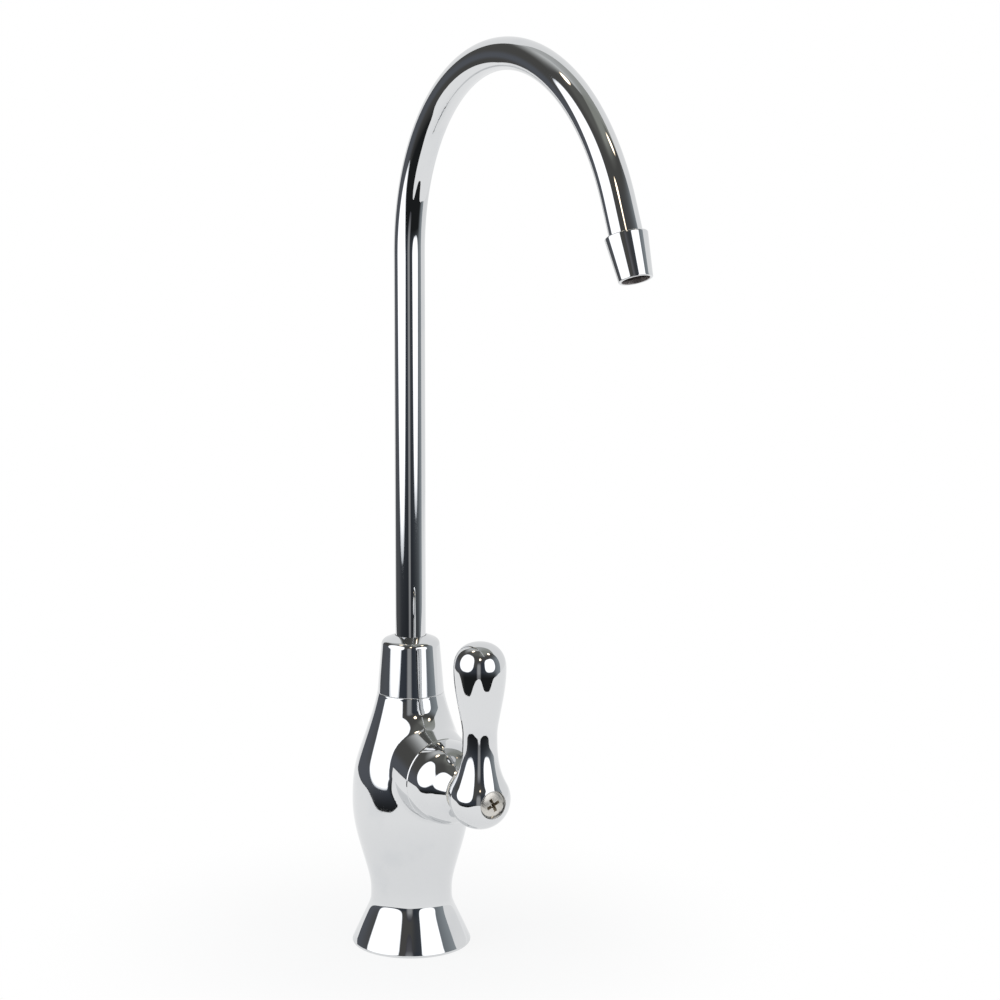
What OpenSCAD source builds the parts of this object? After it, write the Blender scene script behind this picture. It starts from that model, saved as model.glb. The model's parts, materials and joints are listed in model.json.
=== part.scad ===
// Deck-mounted drinking water filter tap: a vase-shaped chromed casting, a swivel gooseneck spout
// and a quarter-turn lever valve on the front. Millimetres, +Z up. The origin is the centre of the
// foot on the worktop. The spout and the valve point to the front, which is -Y.

/* [Casting] */
// Diameter of the foot on the worktop
foot_d = 37.6; // [34:0.1:42]
// Rounding of the foot's edge
foot_edge = 0.8; // [0.4:0.1:1.4]
// Lean of the foot's flank from upright, at its edge, in degrees
foot_lean = 24; // [12:1:28]
// Height over which the flank keeps close to that lean
foot_hold = 13.6; // [5:0.1:15]
// Diameter of the waist above the foot
waist_d = 25.7; // [22:0.1:30]
// Height of the waist
waist_z = 17.8; // [16:0.1:22]
// Height over which the waist stays close to upright, below its narrowest line
waist_fall = 5.4; // [3:0.1:9]
// Height over which the waist stays close to upright, above its narrowest line
waist_hold = 6.9; // [3:0.1:9]
// Diameter of the belly
belly_d = 37.1; // [34:0.1:42]
// Height of the belly's widest line
belly_z = 46.5; // [42:0.5:50]
// Height over which the belly stays close to upright, below its widest line
belly_hold = 10.9; // [6:0.1:14]
// Diameter of the shoulder where its straight cone starts
shoulder_d = 33.5; // [30:0.1:36]
// Rise from the belly's widest line to the shoulder
shoulder_rise = 15; // [11:0.5:18]
// Lean of the shoulder's cone from upright, in degrees
shoulder_lean = 17.7; // [12:0.1:24]
// Diameter of the neck at the collar's seam
neck_d = 20.9; // [20:0.1:24]
// Lean of the neck from upright at the collar's seam, in degrees
neck_lean = 11.3; // [4:0.1:16]
// Height of the collar's seam above the worktop
body_h = 82; // [79:0.5:90]
// Diameter of the waterway inside the casting
waterway_d = 7.2; // [6.9:0.1:8]
// Diameter of the slanted port from the valve up to the spout
port_d = 4.4; // [3.5:0.1:5]

/* [Collar and swivel] */
// Height of the collar's outer edge above its seam
collar_h = 16.5; // [15:0.5:22]
// Diameter of the collar at its top edge
collar_top_d = 18.1; // [17.8:0.1:19.5]
// Rounding of the collar's top edge
collar_edge = 1; // [0.5:0.1:1.5]
// Rise of the collar's crown from that edge to the spout tube
collar_crown = 1.4; // [0.5:0.1:2.5]
// Diameter of the threaded spigot that the collar screws on
spigot_d = 16.4; // [16:0.1:17]
// Height of that spigot above the collar's seam
spigot_h = 8; // [6:0.5:9]
// Diameter of the socket that the spout turns in
socket_d = 14; // [13.6:0.1:14.4]
// Depth of the socket below the collar's seam
socket_depth = 9.5; // [8:0.5:11]
// Thickness of each slip ring
slip_t = 1; // [0.6:0.1:1.4]
// Thickness of the ferrule's flange
flange_t = 2; // [1.5:0.1:2.5]
// Thickness of the O-rings on the ferrule
spout_ring_t = 1.5; // [1.2:0.1:1.7]

/* [Spout] */
// Outside diameter of the spout tube, three eighths of an inch
tube_d = 9.525; // [9:0.005:10]
// Wall of the spout tube
tube_wall = 1; // [0.7:0.05:1.3]
// Height at which the gooseneck starts to bend
bend_z = 220.2; // [150:0.1:280]
// Radius of the bend at the tube's centre line
bend_r = 63.7; // [45:0.1:80]
// Angle that the bend turns through, in degrees
bend_sweep = 155.5; // [120:0.5:180]
// Straight run from the bend to the end of the tip
spout_run = 22.3; // [18:0.1:40]
// Length of the conical tip
tip_len = 12.8; // [10:0.1:16]
// Diameter of the tip at its upper ledge
tip_top_d = 12.2; // [11.8:0.1:14]
// Diameter of the tip at its end
tip_end_d = 9.6; // [9.3:0.1:11]
// Depth of the tube in the tip
tip_grip = 6; // [4:0.5:7]
// Diameter of the outlet
outlet_d = 8.4; // [7.9:0.1:8.6]
// How far the end of the tube is sized up, in radius, for the tip
end_sizing = 0.03; // [0.02:0.01:0.05]

/* [Valve] */
// Height of the valve's axis above the worktop
valve_z = 58.3; // [56:0.1:60]
// Diameter of the boss, and of the bonnet's rim
boss_d = 26.2; // [25:0.1:28]
// Distance of the boss's end face from the tap's axis
boss_reach = 21.8; // [21:0.1:28]
// Diameter of the valve chamber
chamber_d = 17; // [16.6:0.1:17.4]
// Distance of the chamber's floor from the tap's axis
chamber_floor = 8.5; // [7.5:0.1:9]
// Thickness of the seal on the chamber's floor
seal_t = 1.5; // [1:0.1:2]
// Diameter of the moving ceramic disc
disc_d = 14; // [13:0.1:14.2]
// Thickness of each ceramic disc
disc_t = 3; // [2.5:0.1:3.3]
// Diameter of the valve stem
stem_d = 8; // [7.6:0.1:8.4]
// Thickness of the stem's driving flange
stem_flange_t = 2.4; // [2:0.1:2.8]
// Thickness of the thrust washer
thrust_t = 0.8; // [0.5:0.1:1]
// Thickness of the O-rings on the stem
stem_ring_t = 1.5; // [1.2:0.1:1.7]
// Width across flats of the cartridge's hexagon
hex_af = 18; // [17:0.1:18.4]
// Thickness of the cartridge's hexagon
hex_t = 3.5; // [2.5:0.1:4]
// Diameter of the cartridge's threaded neck
cartridge_neck_d = 12.4; // [12:0.1:13]
// Length of the cartridge's threaded neck
cartridge_neck_l = 8.8; // [5:0.1:9.5]
// Thickness of the retaining clip on the stem
clip_t = 0.8; // [0.6:0.1:1]
// Wall of the bonnet's nose
nose_wall = 1; // [0.8:0.1:1.6]
// Diameter of the bonnet's flat nose
nose_d = 14.4; // [14.2:0.1:17]
// Lean of the bonnet's neck from the valve's axis at its nose, in degrees
nose_lean = 22; // [10:1:35]
// Diameter of the bonnet where its dome turns into its neck
bonnet_edge_d = 19.6; // [18:0.1:22]
// Distance of that turn from the boss's end face
bonnet_edge_l = 10.4; // [7:0.1:11.5]
// Lean of the bonnet from the valve's axis at that turn, in degrees
bonnet_edge_lean = 44; // [35:1:60]

/* [Lever handle] */
// Distance from the bonnet's nose to the lever's centre line
lever_offset = 8.3; // [7.8:0.1:10]
// Diameter of the round hub
hub_d = 18.8; // [18:0.1:20]
// Diameter of the hub's skirt at the bonnet
skirt_d = 13.6; // [12.6:0.1:14.6]
// Slope at which the hub runs into the lever
hub_slope = 0.55; // [0.4:0.01:0.8]
// Diameter of the lever's neck
lever_neck_d = 10.6; // [9:0.1:12]
// Height of the lever's neck above the valve's axis
lever_neck_z = 20.2; // [17:0.1:24]
// Diameter of the lever's knob
knob_d = 16.06; // [14:0.02:20]
// Height of the knob's widest line above the valve's axis
knob_z = 40.5; // [34:0.1:50]
// Height of the knob's dome above its widest line
knob_dome = 8.3; // [6:0.1:11]
// Fullness of the knob's dome, where 2 is an ellipse
knob_fullness = 2.6; // [2:0.1:3.5]
// Width across flats of the stem's square end
square_af = 5.6; // [5:0.1:5.7]
// Depth of the square socket in the hub
square_depth = 8.8; // [7:0.1:9.5]
// Diameter of the handle screw's head
screw_head_d = 8.2; // [7.6:0.1:8.6]
// Thickness of the handle screw's head
screw_head_t = 2.4; // [2:0.1:2.8]
// Diameter of the handle screw's thread
screw_d = 4; // [3.6:0.1:4.2]
// Length of the handle screw under its head
screw_l = 13; // [10:0.5:14]
// Wall of the hub between the stem's end and the screw's head
screw_web = 4.8; // [4:0.1:5.4]

/* [Deck fixing] */
// Thickness of the worktop that the tap is clamped to
deck_t = 20; // [10:1:30]
// Outside diameter of the shank's thread, seven sixteenths of an inch
shank_d = 11.1; // [10:0.1:12]
// Diameter of the waterway through the shank
shank_bore_d = 6.5; // [5.5:0.1:6.6]
// Depth of the shank in the casting
shank_grip = 14; // [10:0.5:15]
// Length of the shank below the worktop's top face
shank_drop = 58; // [54:1:80]
// Length of the shank's free end that takes the water connector
connector_l = 16; // [12:0.5:18]
// Width of the relief above the connector's thread
relief_w = 1.6; // [1:0.1:2.5]
// Depth of that relief
relief_depth = 0.7; // [0.5:0.1:1]
// Diameter of the gasket under the foot
gasket_d = 31; // [28:0.1:32]
// Thickness of that gasket
gasket_t = 2; // [1.5:0.1:3]
// Diameter of the rubber washer under the worktop
deck_washer_d = 32; // [28:0.5:40]
// Thickness of that rubber washer
deck_washer_t = 3; // [2:0.1:4]
// Diameter of the steel clamp washer
clamp_washer_d = 28; // [25:0.5:34]
// Thickness of the steel clamp washer
clamp_washer_t = 1.5; // [1:0.1:2]
// Diameter of the split lock washer
lock_washer_d = 18; // [16.5:0.1:19]
// Thickness of the split lock washer
lock_washer_t = 2; // [1.5:0.1:2.5]
// Width across flats of the shank's nut
nut_af = 17.5; // [16:0.1:20]
// Thickness of the shank's nut
nut_t = 6; // [5:0.1:8]

/* [Clearances] */
// Radial clearance between a screw thread and its hole
thread_gap = 0.05; // [0.02:0.01:0.1]
// Radial and axial running clearance of the swivel and the stem
running_gap = 0.05; // [0.02:0.01:0.08]
// Clearance between pieces that turn past each other without bearing
pass_gap = 0.3; // [0.2:0.05:0.4]
// Radial clearance of washers on the shank
washer_gap = 0.25; // [0.1:0.05:0.4]

/* [Hidden] */
$fn = 72;
curve_steps = 9;
past = 1;
collar_edge_arc = 75;
dome_pull = 0.6;
dome_brake = 0.27;
groove_slack = 1.2;
clip_reach = 1.6;
clip_bite = 0.7;
disc_port_share = 0.55;
cartridge_ring_share = 0.25;
recess_turn = 25;
recess_width_share = 0.3;
recess_length_share = 0.56;
key_length_share = 1.6;
ferrule_lip_walls = 3;
slit_turn = 30;

foot_r = foot_d / 2;
waist_r = waist_d / 2;
belly_r = belly_d / 2;
shoulder_r = shoulder_d / 2;
shoulder_z = belly_z + shoulder_rise;
neck_r = neck_d / 2;
shank_r = shank_d / 2;

// Swivel: the ferrule's flange is held between two slip rings under the collar's ceiling
tube_r = tube_d / 2;
tube_bore_r = tube_r - tube_wall;
socket_r = socket_d / 2;
spigot_r = spigot_d / 2;
spigot_top = body_h + spigot_h;
socket_floor = body_h - socket_depth;
flange_low = spigot_top + slip_t + running_gap;
flange_top = flange_low + flange_t;
ceiling_z = flange_top + running_gap + slip_t;
collar_bore_r = spigot_r + thread_gap;
collar_hole_r = tube_r + pass_gap;
slip_r = spigot_r - thread_gap;
flange_r = collar_bore_r - pass_gap;
ferrule_r = socket_r - running_gap;
ferrule_low = socket_floor + pass_gap;
tube_low = ferrule_low + tube_wall * ferrule_lip_walls;
spout_ring_room = (flange_low - tube_low) / 3;

// Valve stack along the valve's axis, as distances from the tap's axis
boss_r = boss_d / 2;
chamber_r = chamber_d / 2;
sleeve_r = chamber_r - thread_gap;
disc_r = disc_d / 2;
sleeve_bore_r = disc_r + pass_gap;
seal_front = chamber_floor + seal_t;
fixed_front = seal_front + disc_t;
moving_back = fixed_front + running_gap;
moving_front = moving_back + disc_t;
stem_back = moving_front + running_gap;
stem_flange_front = stem_back + stem_flange_t;
thrust_front = stem_flange_front + running_gap + thrust_t;
sleeve_roof = thrust_front + running_gap;
hex_front = boss_reach + hex_t;
neck_front = hex_front + cartridge_neck_l;
clip_back = neck_front + running_gap;
clip_front = clip_back + clip_t;
nose_back = clip_front + pass_gap;
nose_front = nose_back + nose_wall;
stem_r = stem_d / 2;
stem_bore_r = stem_r + running_gap;
stem_pass_r = stem_r + pass_gap;
clip_r = stem_r + clip_reach;
clip_seat_r = stem_r - clip_bite;
bonnet_bore_r = max(cartridge_neck_d / 2 + thread_gap, clip_r + pass_gap);
hex_room_r = hex_af / sqrt(3) + pass_gap;
port_w = disc_r * disc_port_share;
key_w = 3;
key_depth = 1.4;
stem_ring_room = (neck_front - sleeve_roof) / 3;

// Handle: a washer fills the gap between the bonnet's nose and the hub's skirt
hub_r = hub_d / 2;
lever_d = nose_front + lever_offset;
handle_washer_t = 0.6;
skirt_back = nose_front + handle_washer_t + running_gap;
square_front = skirt_back + square_depth;
stem_front = square_front - pass_gap;
head_seat = square_front + screw_web;
screw_back = head_seat - screw_l;
screw_bottom = screw_back - past;
square_back = skirt_back - handle_washer_t;
hub_angle = atan(hub_slope);
hub_join = [hub_r * cos(hub_angle), hub_r * sin(hub_angle)];
lever_neck = [lever_neck_d / 2, lever_neck_z];
knob = [knob_d / 2, knob_z];

// Deck fixing, as heights below the worktop's top face
deck_washer_low = -deck_t - deck_washer_t;
clamp_washer_low = deck_washer_low - clamp_washer_t;
lock_washer_low = clamp_washer_low - lock_washer_t;
nut_low = lock_washer_low - nut_t;
washer_bore_r = shank_r + washer_gap;

function bezier(a, b, c, d, t) =
    a * pow(1 - t, 3) + b * 3 * t * pow(1 - t, 2) + c * 3 * t * t * (1 - t) + d * pow(t, 3);

// A smooth run from one point to another, with the pull that each end has along its own direction
function run(start, pull, brake, end) =
    [for (i = [1:curve_steps]) bezier(start, start + pull, end - brake, end, i / curve_steps)];

function arc(centre, r, from, to) =
    [for (i = [0:curve_steps]) let (a = from + (to - from) * i / curve_steps)
        centre + r * [cos(a), sin(a)]];

// The vase outline from the foot's edge to the collar's seam
function vase_outline() =
    let (edge = arc([foot_r - foot_edge, foot_edge], foot_edge, -90, foot_lean),
         flank = edge[curve_steps],
         shoulder_pull = shoulder_rise / 3,
         neck_pull = (body_h - shoulder_z) / 3,
         waist = [waist_r, waist_z],
         belly = [belly_r, belly_z],
         shoulder = [shoulder_r, shoulder_z],
         neck = [neck_r, body_h])
    concat(edge,
           run(flank, foot_hold * [-tan(foot_lean), 1], [0, waist_fall], waist),
           run(waist, [0, waist_hold], [0, belly_hold], belly),
           run(belly, [0, shoulder_pull], shoulder_pull * [-tan(shoulder_lean), 1], shoulder),
           run(shoulder, neck_pull * [-tan(shoulder_lean), 1], neck_pull * [-tan(neck_lean), 1], neck));

// Places its children on the valve's axis, with their z running to the front and their y up
module on_valve() {
    translate([0, 0, valve_z]) rotate([90, 0, 0]) children();
}

// Places its children at the centre of the bend, with their z along +X
module on_bend() {
    translate([0, -bend_r, bend_z]) rotate([90, 0, 90]) children();
}

// Places its children where the bend ends, with their z along the flow
module after_bend() {
    on_bend() rotate([0, 0, bend_sweep]) translate([bend_r, 0, 0]) rotate([-90, 0, 0]) children();
}

module ring(outer_r, inner_r, t) {
    difference() {
        cylinder(h = t, r = outer_r);
        translate([0, 0, -past]) cylinder(h = t + 2 * past, r = inner_r);
    }
}

module o_ring(outer_r, t) {
    rotate_extrude() translate([outer_r - t / 2, 0]) circle(d = t);
}

// The room that an O-ring of this thickness needs in a shaft of this radius
module o_ring_groove(shaft_r, t) {
    groove_w = t * groove_slack;
    translate([0, 0, -groove_w / 2]) ring(shaft_r + past, shaft_r - t - running_gap, groove_w);
}

module body() {
    color("gainsboro") difference() {
        union() {
            rotate_extrude() polygon(concat([[0, 0]], vase_outline(),
                [[spigot_r, body_h], [spigot_r, spigot_top], [0, spigot_top]]));
            on_valve() cylinder(h = boss_reach, r = boss_r);
        }
        translate([0, 0, socket_floor]) cylinder(h = socket_depth + spigot_h + past, r = socket_r);
        translate([0, 0, -past]) cylinder(h = gasket_t + past, d = gasket_d);
        translate([0, 0, -past]) cylinder(h = shank_grip + past, r = shank_r + thread_gap);
        cylinder(h = valve_z + waterway_d / 2, d = waterway_d);
        on_valve() cylinder(h = chamber_floor + past, d = waterway_d);
        on_valve() translate([0, 0, chamber_floor]) cylinder(h = boss_reach, r = chamber_r);
        slanted_port();
    }
}

// The port climbs from the chamber's roof, beside the discs, to the middle of the socket's floor
module slanted_port() {
    rise = socket_floor + port_d - valve_z - disc_r;
    back = moving_back;
    translate([0, -moving_back, valve_z + disc_r]) rotate([-atan(back / rise), 0, 0])
        cylinder(h = norm([rise, back]), d = port_d);
}

module spout_collar() {
    top = [collar_top_d / 2 - collar_edge, body_h + collar_h - collar_edge];
    color("gainsboro") rotate_extrude() polygon(concat(
        [[collar_bore_r, ceiling_z], [collar_bore_r, body_h], [neck_r, body_h]],
        arc(top, collar_edge, 0, collar_edge_arc),
        [[collar_hole_r, body_h + collar_h + collar_crown], [collar_hole_r, ceiling_z]]));
}

module lower_slip_ring() {
    color("ivory") translate([0, 0, spigot_top]) ring(slip_r, ferrule_r + pass_gap, slip_t);
}

module upper_slip_ring() {
    color("ivory") translate([0, 0, ceiling_z - slip_t]) ring(slip_r, collar_hole_r, slip_t);
}

// The end run is sized up by a hair for the tip, from just before the bend ends
module gooseneck(r, low, run) {
    translate([0, 0, low]) cylinder(h = bend_z - low, r = r);
    on_bend() rotate_extrude(angle = bend_sweep) translate([bend_r, 0]) circle(r = r);
    after_bend() translate([0, 0, -past]) cylinder(h = run + past, r = r + end_sizing);
}

module spout_tube() {
    tube_run = spout_run - tip_len + tip_grip;
    color("gainsboro") difference() {
        gooseneck(tube_r, tube_low, tube_run);
        gooseneck(tube_bore_r, tube_low - past, tube_run + past);
    }
}

// Brazed on the tube's foot, with its flange above and its lip under the tube's end
module spout_ferrule() {
    color("goldenrod") difference() {
        union() {
            translate([0, 0, ferrule_low]) cylinder(h = flange_top - ferrule_low, r = ferrule_r);
            translate([0, 0, flange_low]) cylinder(h = flange_t, r = flange_r);
        }
        translate([0, 0, ferrule_low - past]) cylinder(h = flange_top, r = tube_bore_r);
        translate([0, 0, tube_low]) cylinder(h = flange_top, r = tube_r + thread_gap / 2);
        for (i = [1, 2]) translate([0, 0, tube_low + i * spout_ring_room])
            o_ring_groove(ferrule_r, spout_ring_t);
    }
}

module spout_o_rings() {
    color("dimgray") for (i = [1, 2]) translate([0, 0, tube_low + i * spout_ring_room])
        o_ring(ferrule_r, spout_ring_t);
}

module spout_tip() {
    color("gainsboro") after_bend() translate([0, 0, spout_run - tip_len]) difference() {
        cylinder(h = tip_len, d1 = tip_top_d, d2 = tip_end_d);
        translate([0, 0, -past]) cylinder(h = tip_grip + past, r = tube_r + end_sizing + thread_gap / 2);
        cylinder(h = tip_len + past, d = outlet_d);
    }
}

// A bell-shaped cover that screws on the cartridge's neck and closes on the boss's end face
module bonnet() {
    rim = [boss_r, boss_reach];
    edge = [bonnet_edge_d / 2, boss_reach + bonnet_edge_l];
    nose = [nose_d / 2, nose_front];
    edge_way = [-sin(bonnet_edge_lean), cos(bonnet_edge_lean)];
    nose_way = [-sin(nose_lean), cos(nose_lean)];
    neck_pull = norm(nose - edge) / 3;
    color("gainsboro") on_valve() rotate_extrude() polygon(concat(
        [[hex_room_r, boss_reach], rim],
        run(rim, [0, bonnet_edge_l * dome_pull], edge_way * bonnet_edge_l * dome_brake, edge),
        run(edge, edge_way * neck_pull, nose_way * neck_pull, nose),
        [[stem_pass_r, nose_front], [stem_pass_r, nose_back], [bonnet_bore_r, nose_back],
         [bonnet_bore_r, hex_front + running_gap], [hex_room_r, hex_front + running_gap]]));
}

module cartridge_body() {
    window_w = disc_r;
    color("goldenrod") on_valve() difference() {
        union() {
            translate([0, 0, seal_front]) cylinder(h = boss_reach - seal_front, r = sleeve_r);
            translate([0, 0, boss_reach]) cylinder(h = hex_t, r = hex_af / sqrt(3), $fn = 6);
            cartridge_neck();
        }
        translate([0, 0, seal_front - past]) cylinder(h = sleeve_roof - seal_front + past, r = sleeve_bore_r);
        cylinder(h = neck_front + past, r = stem_bore_r);
        translate([-window_w / 2, -chamber_r, moving_back])
            cube([window_w, chamber_d, disc_t]);
        translate([0, 0, (sleeve_roof + boss_reach) / 2]) o_ring_groove(sleeve_r, cartridge_ring_t());
    }
}

module cartridge_neck() {
    translate([0, 0, boss_reach]) cylinder(h = neck_front - boss_reach, d = cartridge_neck_d);
}

// The ring takes a quarter of the wall between the cartridge's thread and the stem
function cartridge_ring_t() = (sleeve_r - stem_bore_r) * cartridge_ring_share;

module cartridge_o_ring() {
    color("dimgray") on_valve() translate([0, 0, (sleeve_roof + boss_reach) / 2])
        o_ring(sleeve_r, cartridge_ring_t());
}

module disc_seal() {
    color("dimgray") on_valve() translate([0, 0, chamber_floor])
        ring(sleeve_bore_r - running_gap, waterway_d / 2, seal_t);
}

// A quarter opening in each disc: they line up when the lever has turned through its range
module disc_port(angle) {
    rotate([0, 0, angle]) for (side = [0, 180]) rotate([0, 0, side])
        translate([disc_r / 2, 0, -past]) cylinder(h = disc_t + 2 * past, d = port_w);
}

module fixed_disc() {
    color("white") on_valve() translate([0, 0, seal_front]) difference() {
        cylinder(h = disc_t, r = sleeve_bore_r - running_gap);
        disc_port(0);
    }
}

module moving_disc() {
    color("white") on_valve() translate([0, 0, moving_back]) difference() {
        cylinder(h = disc_t, r = disc_r);
        disc_port(90);
        translate([-disc_r, -key_w / 2 - running_gap, disc_t - key_depth - running_gap])
            cube([disc_d, key_w + 2 * running_gap, disc_t]);
    }
}

// The stem's key drives the moving disc, and its square end carries the handle
module valve_stem() {
    flange_r = disc_r - running_gap;
    key_l = flange_r * key_length_share;
    color("goldenrod") on_valve() difference() {
        union() {
            translate([0, 0, stem_back]) cylinder(h = stem_flange_t, r = flange_r);
            translate([0, 0, stem_back]) cylinder(h = square_back - stem_back, r = stem_r);
            translate([-key_l / 2, -key_w / 2, stem_back - key_depth])
                cube([key_l, key_w, key_depth + stem_flange_t / 2]);
            translate([-square_af / 2, -square_af / 2, square_back - stem_flange_t])
                cube([square_af, square_af, stem_front - square_back + stem_flange_t]);
        }
        translate([0, 0, screw_bottom]) cylinder(h = stem_front, d = screw_d + 2 * thread_gap);
        for (i = [1, 2]) translate([0, 0, sleeve_roof + i * stem_ring_room])
            o_ring_groove(stem_r, stem_ring_t);
        translate([0, 0, clip_back]) ring(stem_r + past, clip_seat_r, clip_t);
    }
}

module stem_thrust_washer() {
    color("ivory") on_valve() translate([0, 0, stem_flange_front + running_gap])
        ring(disc_r - running_gap, stem_bore_r, thrust_t);
}

module stem_o_rings() {
    color("dimgray") on_valve() for (i = [1, 2]) translate([0, 0, sleeve_roof + i * stem_ring_room])
        o_ring(stem_r, stem_ring_t);
}

// An open spring clip in the stem's groove, in front of the cartridge's neck
module stem_clip() {
    color("silver") on_valve() translate([0, 0, clip_back + running_gap / 2]) difference() {
        ring(clip_r, clip_seat_r + running_gap / 2, clip_t - running_gap);
        translate([-clip_seat_r / 2, -clip_r - past, -past])
            cube([clip_seat_r, clip_r + past, clip_t + 2 * past]);
    }
}

module handle_washer() {
    color("ivory") on_valve() translate([0, 0, nose_front])
        ring(skirt_d / 2, stem_pass_r, handle_washer_t);
}

// The turned lever's outline, as radius and height from the valve's axis
function lever_outline() =
    let (neck_pull = (lever_neck_z - hub_join[1]) / 3,
         knob_pull = (knob_z - lever_neck_z) / 3,
         hub = arc([0, 0], hub_r, -90, hub_angle),
         dome = [for (i = [1:2 * curve_steps]) let (a = 45 * i / curve_steps, k = 2 / knob_fullness)
             [knob[0] * pow(max(cos(a), 0), k), knob_z + knob_dome * pow(sin(a), k)]])
    concat(hub,
           run(hub_join, neck_pull * [-hub_slope, 1], [0, neck_pull], lever_neck),
           run(lever_neck, [0, knob_pull], [0, knob_pull], knob),
           dome);

module handle() {
    color("gainsboro") difference() {
        union() {
            translate([0, -lever_d, valve_z]) rotate_extrude() polygon(lever_outline());
            on_valve() translate([0, 0, skirt_back]) cylinder(h = lever_d - skirt_back, d = skirt_d);
        }
        on_valve() {
            cylinder(h = skirt_back, r = hub_r);
            translate([-square_af / 2 - running_gap, -square_af / 2 - running_gap, skirt_back - past])
                cube([square_af + 2 * running_gap, square_af + 2 * running_gap, square_depth + past]);
            cylinder(h = lever_d + hub_r, d = screw_d + 2 * pass_gap);
            translate([0, 0, head_seat]) cylinder(h = hub_r, d = screw_head_d + 2 * pass_gap);
        }
    }
}

module handle_screw() {
    recess_w = screw_d * recess_width_share;
    recess_l = screw_head_d * recess_length_share;
    color("lightgray") on_valve() difference() {
        union() {
            translate([0, 0, head_seat]) cylinder(h = screw_head_t, d = screw_head_d);
            translate([0, 0, screw_back]) cylinder(h = screw_l, d = screw_d);
        }
        translate([0, 0, head_seat + screw_head_t / 3])
            for (turn = [0, 90]) rotate([0, 0, turn + recess_turn])
                translate([-recess_l / 2, -recess_w / 2, 0]) cube([recess_l, recess_w, screw_head_t]);
    }
}

// A hollow threaded stud that clamps the tap down and brings the water in
module shank() {
    relief_low = connector_l - shank_drop;
    color("goldenrod") difference() {
        translate([0, 0, -shank_drop]) cylinder(h = shank_drop + shank_grip, r = shank_r);
        translate([0, 0, -shank_drop - past])
            cylinder(h = shank_drop + shank_grip + 2 * past, d = shank_bore_d);
        translate([0, 0, relief_low]) ring(shank_r + past, shank_r - relief_depth, relief_w);
    }
}

module base_gasket() {
    color("dimgray") ring(gasket_d / 2 - thread_gap, washer_bore_r, gasket_t);
}

module deck_washer() {
    color("dimgray") translate([0, 0, deck_washer_low]) ring(deck_washer_d / 2, washer_bore_r, deck_washer_t);
}

module clamp_washer() {
    color("silver") translate([0, 0, clamp_washer_low])
        ring(clamp_washer_d / 2, washer_bore_r, clamp_washer_t);
}

module lock_washer() {
    color("silver") translate([0, 0, lock_washer_low]) difference() {
        ring(lock_washer_d / 2, washer_bore_r, lock_washer_t);
        rotate([0, 0, slit_turn]) translate([0, -lock_washer_t / 4, -past])
            cube([lock_washer_d, lock_washer_t / 2, lock_washer_t + 2 * past]);
    }
}

module shank_nut() {
    color("goldenrod") translate([0, 0, nut_low]) difference() {
        cylinder(h = nut_t, r = nut_af / sqrt(3), $fn = 6);
        translate([0, 0, -past]) cylinder(h = nut_t + 2 * past, r = shank_r + thread_gap);
    }
}

body();
spout_collar();
lower_slip_ring();
upper_slip_ring();
spout_tube();
spout_ferrule();
spout_o_rings();
spout_tip();
bonnet();
cartridge_body();
cartridge_o_ring();
disc_seal();
fixed_disc();
moving_disc();
valve_stem();
stem_thrust_washer();
stem_o_rings();
stem_clip();
handle_washer();
handle();
handle_screw();
shank();
base_gasket();
deck_washer();
clamp_washer();
lock_washer();
shank_nut();
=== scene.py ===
import json
import math

import bpy
import numpy as np
from mathutils import Euler, Matrix, Vector


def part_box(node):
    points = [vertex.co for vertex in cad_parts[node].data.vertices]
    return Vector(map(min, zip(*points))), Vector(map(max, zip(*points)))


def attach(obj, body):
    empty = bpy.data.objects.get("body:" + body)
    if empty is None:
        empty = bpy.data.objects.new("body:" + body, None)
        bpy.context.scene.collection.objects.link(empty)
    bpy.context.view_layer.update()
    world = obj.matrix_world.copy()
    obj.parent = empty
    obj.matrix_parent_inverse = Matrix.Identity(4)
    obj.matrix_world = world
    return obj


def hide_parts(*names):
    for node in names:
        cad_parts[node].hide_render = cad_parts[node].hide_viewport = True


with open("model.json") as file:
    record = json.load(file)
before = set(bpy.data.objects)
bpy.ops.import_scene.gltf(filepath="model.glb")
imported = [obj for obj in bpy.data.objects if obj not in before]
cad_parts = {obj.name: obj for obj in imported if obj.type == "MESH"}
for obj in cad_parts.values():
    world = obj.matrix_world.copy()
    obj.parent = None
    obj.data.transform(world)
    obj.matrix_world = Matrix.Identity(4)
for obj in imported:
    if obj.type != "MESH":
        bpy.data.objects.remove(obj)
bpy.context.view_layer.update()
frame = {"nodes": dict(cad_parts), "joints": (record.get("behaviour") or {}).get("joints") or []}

# The casting: a vase-shaped brass body with a boss for the valve on its front, polished and chromed.
# It is turned about the riser's axis and bored for the shank, the water and the spout. The boss's top rises
# to the shoulder like a low roof and runs into it in a soft fillet, and the collar's spigot stands on top.
mm = 0.001
foot_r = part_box("body")[1].x
boss_reach = -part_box("body")[0].y
spigot_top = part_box("body")[1].z
neck_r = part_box("spout_collar")[1].x
seam_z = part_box("spout_collar")[0].z
boss_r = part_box("bonnet")[1].x
valve_z = frame["joints"][0]["pos_m"][2]
foot_edge = 0.8 * mm
foot_lean = math.radians(24)
foot_hold = 13.6 * mm
waist = np.array((12.85, 17.8)) * mm
waist_fall = 5.4 * mm
waist_hold = 6.9 * mm
belly = np.array((18.55, 46.5)) * mm
belly_hold = 10.9 * mm
shoulder = np.array((16.75, 61.5)) * mm
shoulder_lean = math.radians(17.7)
neck = np.array((neck_r, seam_z))
neck_lean = math.radians(11.3)
side_fillet = 1.5 * mm
top_fillet = 4 * mm
roof_rise = 0.33
seam_ease = 0.2 * mm
bore_ease = 0.1 * mm
groove_half = 0.32 * mm
groove_depth = 0.16 * mm
groove_ease = 0.12 * mm
groove_root_ease = 0.03 * mm
socket_r = 7 * mm
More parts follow.
